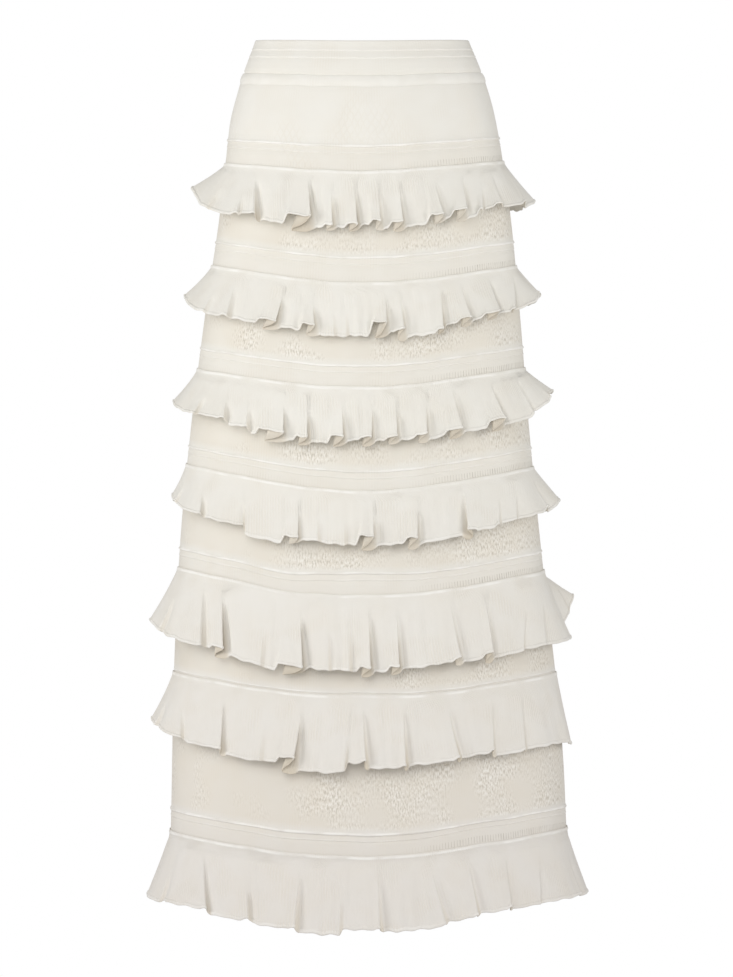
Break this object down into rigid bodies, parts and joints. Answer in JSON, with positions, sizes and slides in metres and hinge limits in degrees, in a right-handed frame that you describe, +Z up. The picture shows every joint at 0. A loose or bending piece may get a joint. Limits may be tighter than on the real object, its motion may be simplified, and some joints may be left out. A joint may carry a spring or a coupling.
{
  "type": "tiered ruffle skirt",
  "caption": "Long knit skirt held open as when worn: a waistband and yoke over net panels, with gathered ruffles in tiers and a ruffled hem.",
  "frame": {"origin": "middle of the waist opening, level with the waistband's top edge at the side seams", "axes": "+Z up out of the waist, the front faces -Y, +X to the right of someone who looks at the front"},
  "size_m": [0.482, 0.3779, 0.9563],
  "materials": {
    "plain_knit": "matte ivory knit with a soft nap",
    "net_knit": "matte ivory pointelle knit, finely pierced",
    "rib_knit": "matte ivory knit with fine upright ribs"
  },
  "bodies": {
    "root": {"waistband_front": "plain_knit", "waistband_back": "plain_knit", "yoke_front": "plain_knit", "yoke_back": "plain_knit", "panel_2_front": "net_knit", "panel_2_back": "net_knit", "panel_3_front": "net_knit", "panel_3_back": "net_knit", "panel_4_front": "net_knit", "panel_4_back": "net_knit", "panel_5_front": "net_knit", "panel_5_back": "net_knit", "panel_6_front": "net_knit", "panel_6_back": "net_knit", "panel_7_front": "net_knit", "panel_7_back": "net_knit", "ruffle_1_front": "rib_knit", "ruffle_1_back": "rib_knit", "ruffle_2_front": "rib_knit", "ruffle_2_back": "rib_knit", "ruffle_3_front": "rib_knit", "ruffle_3_back": "rib_knit", "ruffle_4_front": "rib_knit", "ruffle_4_back": "rib_knit", "ruffle_5_front": "rib_knit", "ruffle_5_back": "rib_knit", "ruffle_6_front": "rib_knit", "ruffle_6_back": "rib_knit", "ruffle_7_front": "rib_knit", "ruffle_7_back": "rib_knit"}
  },
  "joints": []
}
